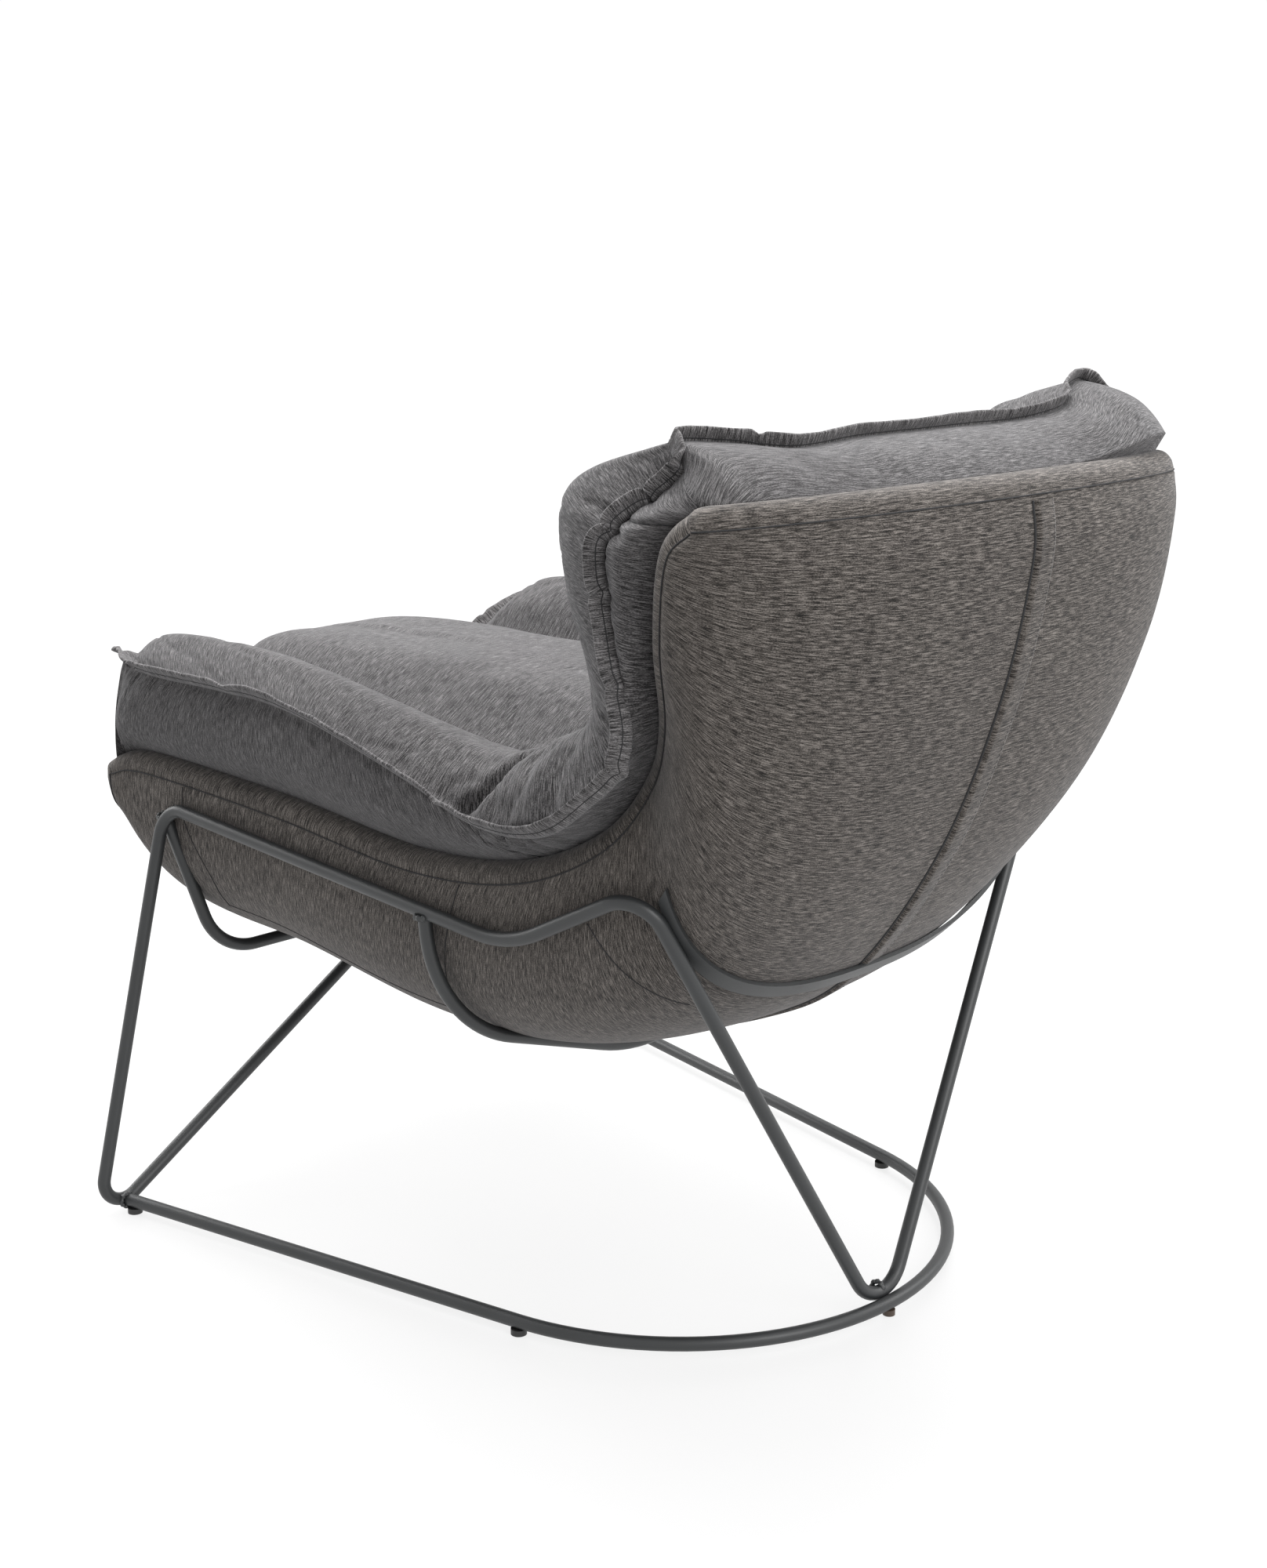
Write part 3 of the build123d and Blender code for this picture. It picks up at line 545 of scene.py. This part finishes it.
# ------------------------------------------------------------ shell upholstery
COVER_LIFT, SEAM_DIP = 0.7, 1.3             # the cover stands proud and dips at its edges
CLOSURE_START, CLOSURE_END = 0.24, 0.992    # shares that the back's closure runs between
FOLD_X, FLAP_X = 3.0, -29.0     # the closure's fold, and the far edge of its flap
FLAP_LIFT, FOLD_LIFT = 1.2, 3.8             # height of the flap, and how much more the fold has
FLAP_TUCK = -1.5                # the flap's two edges end inside the cover
CLOSURE_SEAM_X, CLOSURE_SEAM_R = 4.0, 1.5
STITCH_X, STITCH_LIFT, STITCH_PITCH = -23.5, 2.0, 4.5
# Seams lie on the edge and in the panels: how far above the surface, and their radius.
EDGE_SEAM_LIFT, EDGE_SEAM_R = 0.6, 0.7
PANEL_SEAM_LIFT, PANEL_SEAM_R = 0.75, 0.6
# Panel seams of a side, by share and angle.
SIDE_SEAM_END = 89.5
MIDDLE_SEAM, MIDDLE_SEAM_START = 0.345, 48
FRONT_SEAM, FRONT_SEAM_BOW, FRONT_SEAM_START = 0.137, 0.018, 52
LOW_SEAM_START, LOW_SEAM_ANGLE, LOW_SEAM_DROP = 0.155, 52, 4
DART, DART_RUN, DART_ANGLE, DART_TURN = 0.495, 0.07, 74, 35


def shell_rows():
    """Closed sections of the upholstered shell from lip to top."""
    near_edge = [89, 89.6, 90]
    angles = [-a for a in near_edge[::-1]] + steps(-88, 88, 89) + near_edge
    rows = []
    for share in steps(0, 1, SHELL_SECTIONS):
        row = []
        for angle in angles:
            edge = bump((90 - abs(angle)) / 90, 0.012) + bump(share, 0.003)
            edge = min(edge + bump(1 - share, 0.003), 1.0)
            lift = COVER_LIFT - SEAM_DIP * edge
            row.append(shell_point(share, angle, 0) + shell_normal(share, angle) * lift)
        row += roll_arc(share, 90)
        row += [shell_point(share, angle, SHELL_T) for angle in steps(90, -90, LINING_POINTS)]
        row += roll_arc(share, -90)[::-1]
        rows.append(row)
    return rows


def end_roll(share, name):
    """Roll over the shell's lip or top, from its outer surface to its lining."""
    rows = []
    for angle in steps(-90, 90, ROLL_SECTIONS):
        outer, inner = shell_point(share, angle, 0), shell_point(share, angle, SHELL_T)
        rows.append([outer] + roll_arc(share, angle) + [inner])
    return add_mesh(name, rows, shell_cloth, turned=True)


def build_shell():
    """The shell's upholstery in one closed form, with its rolled ends."""
    body = add_mesh("shell_upholstery", shell_rows(), shell_cloth, closed_across=True,
                    guide=COVER_GUIDE)
    finish_piece(body, "shell_fabric", "shell_outer_cover", "shell_outer_foam",
                 "shell_inner_foam", "shell_inner_lining", "rim_roll_left", "rim_roll_right")
    for share, name, node in ((0.0, "lip_roll", "rim_roll_front"),
                              (1.0, "top_roll", "rim_roll_top")):
        roll = finish_piece(end_roll(share, name), "shell_fabric", node)


def build_closure():
    """Flap over the back's closure: a fold in the middle, stitched down on the right."""
    rows = []
    for share in steps(CLOSURE_START, CLOSURE_END, CLOSURE_SECTIONS):
        row = []
        for j, x in enumerate(steps(FOLD_X, FLAP_X, FLAP_POINTS)):
            place = j / (FLAP_POINTS - 1)
            lift = FLAP_LIFT + FOLD_LIFT * (1 - place) ** 0.7 * smooth(place, 0.0, 0.12)
            if j in (0, FLAP_POINTS - 1):
                lift = FLAP_TUCK
            wave = 0.8 * noise.noise(Vector((share * 22, 3.1, x * 0.05)))
            row.append(on_shell(share, x, lift + wave * (1 - abs(2 * place - 1))))
        rows.append(row)
    flap = finish_piece(add_mesh("closure_fold", rows, shell_cloth), "shell_fabric", "closure_flap")
    beside = [on_shell(share, CLOSURE_SEAM_X, EDGE_SEAM_LIFT)
              for share in steps(CLOSURE_START, CLOSURE_END, CLOSURE_SECTIONS)]
    seam("closure_seam", beside, CLOSURE_SEAM_R)
    places = [on_shell(share, STITCH_X, STITCH_LIFT)
              for share in steps(0.245, 0.985, STITCH_STEPS)]
    stitches("closure_stitches", places, STITCH_PITCH)


def build_shell_seams():
    """Edge seam all round, and on each side a front, a low and a middle panel seam and a dart."""
    runs = {
        "middle_panel_seam_": [
            (MIDDLE_SEAM, a) for a in steps(MIDDLE_SEAM_START, SIDE_SEAM_END, PANEL_SEAM_POINTS)],
        "front_panel_seam_": [
            (FRONT_SEAM + FRONT_SEAM_BOW * smooth(a, 84, 60), a)
            for a in steps(FRONT_SEAM_START, SIDE_SEAM_END, PANEL_SEAM_POINTS)],
        "low_panel_seam_": [
            (s, LOW_SEAM_ANGLE - LOW_SEAM_DROP * smooth(s, LOW_SEAM_START, MIDDLE_SEAM))
            for s in steps(LOW_SEAM_START, MIDDLE_SEAM, PANEL_SEAM_POINTS)],
        "dart_": [
            (DART + DART_RUN * t ** 0.9, DART_ANGLE - DART_TURN * t)
            for t in steps(0, 1, SHORT_SEAM_POINTS)],
    }
    for side, tag in SIDES:
        edge = [shell_point(s, 90 * side, 0) + edge_outward(s, 90) * EDGE_SEAM_LIFT
                for s in steps(0.004, 0.996, EDGE_SEAM_POINTS)]
        seam("edge_seam_" + tag, edge, EDGE_SEAM_R)
        for name, run in runs.items():
            line = [shell_point(s, a * side, -PANEL_SEAM_LIFT) for s, a in run]
            seam(name + tag, line, PANEL_SEAM_R)
    for share, tag in ((0.0, "lip"), (1.0, "top")):
        rim = [shell_point(share, a, 0) + edge_outward(share, a) * EDGE_SEAM_LIFT
               for a in steps(-90, 90, END_SEAM_POINTS)]
        seam("edge_seam_" + tag, rim, EDGE_SEAM_R)


# ------------------------------------------------------------ cushion
def line_at(line, share):
    """Point (y, z) of one of the cushion's main lines."""
    return blend([p[0] for p in line], share), blend([p[1] for p in line], share)


def flange_x(share):
    """How far the seam lies from the middle."""
    top = (TOP_CORNER_X - FLANGE_X) * smooth(share, 0.88, 1.0)
    return FLANGE_X + top + (FRONT_CORNER_X - FLANGE_X) * smooth(share, 0.06, 0.0)


def kink(share):
    """How far the seam is pulled in where the flange is folded over itself."""
    return sum(depth * bump(share - place, 0.007) for place, depth in KINKS)


def far_side(point, side):
    """Mirror for the sitter's right, with its top corner plumped up."""
    if side > 0:
        return point
    lift = FAR_LIFT * smooth(point.z, 760, 870) * smooth(point.x, 90, 290)
    return Vector((-point.x, point.y + 0.6 * lift, point.z + lift))


def creases(place, across, seed):
    """Narrow folds, 0 between them and 1 in their floors."""
    wander = noise.noise(Vector((place, across, seed)))
    return max(0.0, 1 - abs(wander) * 6.0)


def top_point(share, u):
    """Upper face of the cushion, before its creases."""
    centre, valley = line_at(CENTRE, share), line_at(VALLEY, share)
    crest, flange = line_at(CREST, share), line_at(FLANGE, share)
    reach = flange_x(share)
    xs = [CENTRE_X, FALL_X * VALLEY_X, VALLEY_X, RISE_X * (VALLEY_X + CREST_X), CREST_X,
          SHOULDER_X[0] * CREST_X + SHOULDER_X[1] * reach, reach]
    places = [centre, mix(centre, valley, FALL), valley, mix(valley, crest, RISE), crest,
              mix(crest, flange, SHOULDER), flange]
    sink = TOP_CORNER_SINK * smooth(share, 0.9, 1.0) * smooth(u, 0.82, 1.0)
    x = blend(xs, u)
    y = blend([p[0] for p in places], u)
    z = blend([p[1] for p in places], u) - sink
    return Vector((x, y, z))


def puff(share, u, side):
    """Soft creases of filled cloth: broad hollows, puckers along the seam, the pulled corner
    between arm and back, and the panel that bulges out of it."""
    soft = SWELL * noise.noise(Vector((share * 8 + 5 * side, u * 2.0, 1.7 * side)))
    crease = 1 - abs(noise.noise(Vector((share * 13 + 3 * side, u * 3.2, 8.0)))) * 2
    near_seam = smooth(u, 0.66, 0.97)
    pucker = -PUCKER * near_seam * creases(share * 40, u * 1.5, side * 4.0)
    corner = bump(share - INNER_CORNER, 0.10) * smooth(u, 0.40, 0.90)
    fold = -CORNER_FOLD * corner * creases(share * 19 + u * 3.5, u * 0.6, side * 2.0 + 6.0)
    wedge = WEDGE * bump(share - WEDGE_SHARE, 0.055) * bump(u - WEDGE_U, 0.17)
    return soft - CREASE * smooth(crease, 0.75, 1.0) + pucker + fold + wedge


def mitre(share, u):
    """Depth of the seams across the upper face: where arms turn into back, and at the top."""
    low_place = LOW_MITRE + LOW_MITRE_RUN * (1 - u)
    high_place = HIGH_MITRE + HIGH_MITRE_RUN * (1 - u)
    low = LOW_MITRE_DEPTH * bump(share - low_place, 0.008) * smooth(u, 0.60, 0.74)
    high = HIGH_MITRE_DEPTH * bump(share - high_place, 0.006) * smooth(u, 0.80, 0.90)
    return low + high


def creased_point(share, u, side):
    """Upper face with its creases and sewn grooves, on either side."""
    point = top_point(share, u)
    ahead = top_point(min(share + SHARE_STEP, 1), u) - top_point(max(share - SHARE_STEP, 0), u)
    across = top_point(share, min(u + U_STEP, 1)) - top_point(share, max(u - U_STEP, 0))
    out = across.cross(ahead).normalized()
    groove = GROOVE * bump(u - GROOVE_U, 0.018)
    crossing = CROSSING * bump(share - CROSS_SEAM, 0.010) * (1 - smooth(u, 0.75, 0.95))
    lift = puff(share, u, side) - groove - crossing - mitre(share, u)
    edge = smooth(share, 0, 0.02) * (1 - smooth(share, 0.985, 1.0)) * (1 - smooth(u, 0.97, 1.0))
    return far_side(point + out * (lift * edge), side)


def seam_point(share, u):
    """Point of the perimeter seam, pulled in at the folds of the flange."""
    point = top_point(share, u)
    if u < 0.999:
        return point
    pull = 0.5 * kink(share)
    return point - edge_outward(share, 90) * pull - Vector((pull, 0, 0))


def rest_on_edge(share, angle):
    """Where the cushion's side comes down on the shell's edge, and where it then tucks in."""
    outward = edge_outward(share, angle)
    landing = shell_point(share, angle, SHELL_T * LANDING_DEPTH)
    tuck = shell_point(share, angle, SHELL_T * TUCK_DEPTH)
    return landing + outward * (SHELL_T * LANDING_OUT), tuck + outward * TUCK_OUT


def side_belly(t):
    """Bulge of the side panel, from the seam (t 0) down to the shell's edge (t 1)."""
    return GUSSET_BULGE * math.sin(math.pi * t ** 1.3) - 5.0 * bump(t - 0.06, 0.07)


def gusset_point(share, t, side):
    """Side panel from the seam (t 0) down to the shell's edge (t 1), bellied outwards."""
    landing = rest_on_edge(share, 90)[0]
    base = seam_point(share, 1.0).lerp(landing, t)
    open_part = (1 - smooth(share, 0.955, 1.0)) * smooth(share, 0.0, 0.03)
    belly = side_belly(t) * (0.35 + 0.65 * open_part)
    small = SIDE_SWELL * noise.noise(Vector((share * 19 + 7 * side, t * 1.8, 2.0)))
    pucker = -SIDE_PUCKER * bump(t, 0.24) * creases(share * 42, t, side * 3.0)
    near_corner = -SIDE_CORNER_FOLD * bump(share - SIDE_CORNER, 0.085)
    corner = near_corner * creases(share * 30 + t * 1.9, t * 0.4, side * 5.0)
    low = bump(share - LOW_GUSSET_SEAM - LOW_GUSSET_RUN * t, 0.004)
    high = bump(share - HIGH_GUSSET_SEAM - HIGH_GUSSET_RUN * t, 0.004)
    sewn = -GUSSET_SEAM_DEPTH * (low + high)
    quiet = smooth(t, 0.0, 0.10) * smooth(t, 1.0, 0.94) * open_part
    point = base + Vector((1, 0, 0)) * (belly + (small + pucker + corner + sewn) * quiet)
    return far_side(point, side)


def gusset_line(share, side):
    """Side panel's section, with the tuck under it."""
    line = [gusset_point(share, t, side) for t in steps(0, 1, GUSSET_POINTS)[1:]]
    return line + [far_side(rest_on_edge(share, 90)[1], side)]


def cap_rows(share):
    """Front face, or the band behind the top seam, between the upper face and the shell."""
    rows = []
    half = steps(0, 1, CAP_HALF)
    for u, side in [(u, -1) for u in steps(1, 0, CAP_HALF)] + [(u, 1) for u in half[1:]]:
        start = seam_point(share, u)
        landing, tuck = rest_on_edge(share, u * 90)
        way, depth = Vector((0, 0.80, 0.60)), BAND_BULGE
        if share < 0.5:
            lining = shell_point(share, u * 88, SHELL_T + CUSHION_GAP)
            corner = smooth(u, 0.80, 1.0)
            landing = (lining + Vector((0, -10, 10))).lerp(landing, corner)
            tuck = lining.lerp(tuck, corner)
            way, depth = Vector((0, -1, 0.1)), FRONT_BULGE
        depth *= 1 - smooth(u, 0.82, 1.0)
        row = []
        for t in steps(0, 1, GUSSET_POINTS):
            point = start.lerp(landing, t)
            point += way * (depth * math.sin(math.pi * t ** 0.9))
            point.x += 0.35 * side_belly(t) * smooth(u, 0.85, 1.0)
            crease = noise.noise(Vector((point.x * 0.022 * side, t * 1.6, share * 5)))
            hollow = min(noise.noise(Vector((point.x * 0.06 * side, t, 9.0))), 0)
            lift = FRONT_CREASE * crease + FRONT_PUCKER * (hollow * bump(t, 0.3))
            quiet = 1 - smooth(u, 0.9, 1.0)
            point += way * (lift * math.sin(math.pi * t) * quiet)
            row.append(far_side(point, side))
        row.append(far_side(tuck, side))
        rows.append(row)
    return rows


def build_cushion():
    """The loose cushion's closed form: seat, arms, back and wings over the shell's lining."""
    half = steps(0, 1, CUSHION_HALF)
    places = [(u, -1) for u in half[::-1]] + [(u, 1) for u in half[1:]]
    sections = []
    for share in steps(0, 1, CUSHION_SECTIONS):
        upper = [creased_point(share, u, side) for u, side in places]
        bottom = [shell_point(share, angle, SHELL_T + CUSHION_GAP)
                  for angle in steps(86, -86, UNDERSIDE_POINTS)]
        left, right = gusset_line(share, 1), gusset_line(share, -1)
        sections.append(upper + left + bottom + right[::-1])
    body = add_mesh("loose_cushion", sections, cushion_cloth, closed_across=True,
                    guide=CUSHION_GUIDE)
    pads = [n for n in frame["nodes"] if "_pad" in n or "_bolster_" in n] + ["seat_base_foam"]
    finish_piece(body, "cushion_fabric", *pads)
    for share, name in ((0.0, "cushion_front"), (1.0, "cushion_top_band")):
        cap = add_mesh(name, cap_rows(share), cushion_cloth, turned=True)
        finish_piece(cap, "cushion_fabric")
    build_flange()
    build_cushion_seams()


def flange_path():
    """The seam all round from the front's middle: points, the flange's way and its folds."""
    front, left, over = [], [], []
    for u in steps(0, 1, CAP_HALF)[:-1]:
        turn = smooth(u, 0.90, 1.0)
        out = Vector((0.72 * turn, -0.75 * (1 - 0.5 * turn), 0.66))
        front.append((top_point(0.0, u), out, FRONT_KINK_DEPTH * bump(u - FRONT_KINK, 0.012)))
    for share in steps(0, 1, FLANGE_SIDE):
        out = Vector((0.72, -0.37 * smooth(share, 0.02, 0.0), 0)) + edge_outward(share, 90) * 0.69
        left.append((seam_point(share, 1.0), out, kink(share)))
    for u in steps(1, 0, FLANGE_TOP)[1:]:
        turn = smooth(u, 0.90, 1.0)
        level = Vector((0.80 * turn, 0.45 * (1 - turn), 0.84 * (1 - turn)))
        out = level + edge_outward(1.0, 90) * (0.6 * turn)
        over.append((top_point(1.0, u), out, TOP_KINK_DEPTH * bump(u - TOP_KINK, 0.012)))
    half = front + left + over
    far = []
    for point, out, fold in half[-2::-1]:
        far.append((far_side(point, -1), Vector((-out.x, out.y, out.z)), fold))
    return half + far


def build_flange():
    """Two layers of cloth beyond the seam, waved and folded, stitched down near the seam."""
    path = flange_path()
    last = len(path) - 1
    rows, line = [], []
    for i, (point, out, fold) in enumerate(path):
        way = (path[min(i + 1, last)][0] - path[max(i - 1, 0)][0]).normalized()
        out = (out - way * out.dot(way)).normalized()
        up = way.cross(out).normalized()
        wave = FLANGE_WAVE * noise.noise(Vector((i * 0.055, 1.0, 0)))
        wave += FLANGE_RIPPLE * noise.noise(Vector((i * 0.21, 2.0, 0)))
        wave += 0.9 * fold
        uneven = 1 + FLANGE_UNEVEN * noise.noise(Vector((i * 0.05, 4.0, 0)))
        width = FLANGE_W * uneven - 0.55 * fold
        ring = []
        for across, thick in FLANGE_SECTION:
            reach = across if across < 0 else across * width
            lean = wave * max(across, 0) ** 1.5
            ring.append(point + out * reach + up * (thick + lean))
        rows.append(ring)
        line.append(point + out * (width * FLANGE_STITCHES) + up * (1.2 + wave * 0.10))
    # painted light: the flange takes the lighter copy of the cushion's cloth
    flange = add_mesh("cushion_flange", rows, flange_cloth_painted_lighter, closed_across=True)
    finish_piece(flange, "cushion_fabric")
    seam("flange_stitch_line", line, FLANGE_SEAM_R, "cushion_fabric")


def build_cushion_seams():
    """Seams across the side panels, low at the inner corner and high at the top corner."""
    for side, tag in SIDES:
        for name, start, run in (("gusset_low_seam_", LOW_GUSSET_SEAM, LOW_GUSSET_RUN),
                                 ("gusset_high_seam_", HIGH_GUSSET_SEAM, HIGH_GUSSET_RUN)):
            line = [gusset_point(start + run * t, t, side)
                    for t in steps(0.02, 0.97, SHORT_SEAM_POINTS)]
            seam(name + tag, line, GUSSET_SEAM_R, "cushion_fabric")


# ------------------------------------------------------------ welds, in metres
TUBE_R = 0.007
BEAD_R, BEAD_UNEVEN = 0.0022, 0.25          # a bead's size, and how much it varies
BEAD_TURNS, BEAD_SIDES = 36, 8


def bead_rows(centre, axis, number):
    """Uneven ring of weld round a tube."""
    axis = Vector(axis).normalized()
    side = axis.orthogonal().normalized()
    up = axis.cross(side)
    rows = []
    for i in range(BEAD_TURNS + 1):
        a = 2 * math.pi * i / BEAD_TURNS
        spoke = side * math.cos(a) + up * math.sin(a)
        size = BEAD_R * (1 + BEAD_UNEVEN * math.sin(9 * a + number))
        row = []
        for j in range(BEAD_SIDES):
            t = 2 * math.pi * j / BEAD_SIDES
            out = spoke * (TUBE_R + size * math.cos(t))
            row.append(unplaced(Vector(centre) + out + axis * (1.4 * size * math.sin(t))))
        rows.append(row)
    return rows


def build_welds():
    """Small uneven beads where tubes meet."""
    ring_low, ring_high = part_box("floor_ring")
    foot_low, foot_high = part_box("left_front_leg")
    rear_low, rear_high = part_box("rear_cradle_hoop")
    front_low, front_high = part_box("front_cradle_hoop")
    v_bar_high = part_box("rear_v_bar")[1]
    rear_y = (rear_low[1] + rear_high[1]) / 2
    front_y = (front_low[1] + front_high[1]) / 2
    foot_y = (foot_low[1] + foot_high[1]) / 2 + TUBE_R
    spots = []
    for side in (1, -1):
        rear = (side * (rear_high[0] - 0.004), rear_y, rear_high[2] - 0.002)
        front = (side * (front_high[0] - 0.006), front_y, front_high[2] - 0.004)
        foot = (side * (foot_high[0] - 0.03), foot_y, ring_low[2] + TUBE_R)
        spots += [(rear, (0, 0, 1)), (front, (0.3 * side, 0, 1)), (foot, (0, 1, 0))]
    spots.append(((0, v_bar_high[1] - 0.010, ring_high[2] + 0.003), (1, 0, 0)))
    for k, (centre, axis) in enumerate(spots):
        bead = add_mesh(f"weld_bead_{k}", bead_rows(centre, axis, k), paint, closed_across=True)
        finish_piece(bead, "frame_paint")


# ------------------------------------------------------------ studio
FLOOR_HALF = 30.0               # metres
LIGHTS_AIM = Vector((0, 0, 0.45))
LIGHTS = (                      # name, place and size in metres, and power
    ("key_light", (-0.5, -0.4, 3.3), 2.6, 235.0),
    ("front_light", (0.6, -3.4, 1.9), 1.8, 50.0),
    ("back_light", (0.2, 3.8, 2.0), 2.0, 86.0),
    ("far_light", (-2.8, 1.8, 2.0), 1.8, 48.0),
)
EYE = (1661.4, 1556.1, 1051.6)  # in working millimetres
EYE_WAY = Vector((-0.6952, -0.6780, -0.2386))
EYE_LENS = 52.335


def aimed(way):
    """Turn that points a lamp or the camera along a way."""
    return way.to_track_quat("-Z", "Y").to_euler()


def build_floor():
    """Plain pale floor that gives a little light of its own."""
    mesh = bpy.data.meshes.new("studio_floor")
    corners = [(-FLOOR_HALF, -FLOOR_HALF, 0), (FLOOR_HALF, -FLOOR_HALF, 0),
               (FLOOR_HALF, FLOOR_HALF, 0), (-FLOOR_HALF, FLOOR_HALF, 0)]
    mesh.from_pydata(corners, [], [(0, 1, 2, 3)])
    floor = linked("studio_floor", mesh)
    material, nodes, links, shader = new_material("studio_white", 0.45)
    coords = nodes.new("ShaderNodeTexCoord")
    tint = noise_node(nodes, links, coords.outputs["Object"], 3.0)
    tones = ramp(nodes, [(0.3, (0.095, 0.095, 0.095)), (0.7, (0.105, 0.105, 0.105))])
    links.new(tint.outputs["Fac"], tones.inputs["Fac"])
    links.new(tones.outputs["Color"], shader.inputs["Base Color"])
    shader.inputs["Emission Color"].default_value = (1, 1, 1, 1)
    shader.inputs["Emission Strength"].default_value = 0.79
    mesh.materials.append(material)


def build_studio():
    """Floor, white surroundings, soft lamps and the camera."""
    build_floor()
    world = bpy.data.worlds.new("studio")
    world.use_nodes = True
    world.node_tree.nodes["Background"].inputs["Color"].default_value = (1, 1, 1, 1)
    world.node_tree.nodes["Background"].inputs["Strength"].default_value = 1.01
    bpy.context.scene.world = world
    for name, place, size, power in LIGHTS:
        light = bpy.data.lights.new(name, "AREA")
        light.size = size
        light.energy = power
        lamp = linked(name, light)
        lamp.location = place
        lamp.rotation_euler = aimed(LIGHTS_AIM - Vector(place))
    camera = bpy.data.cameras.new("camera")
    camera.lens = EYE_LENS
    camera.sensor_width = 36
    camera.sensor_fit = "AUTO"
    eye = linked("camera", camera)
    eye.location = placed(EYE)
    eye.rotation_euler = aimed(EYE_WAY)
    bpy.context.scene.camera = eye
    bpy.context.scene.view_settings.view_transform = "Standard"


build_shell()
build_closure()
build_shell_seams()
build_cushion()
build_welds()
build_studio()
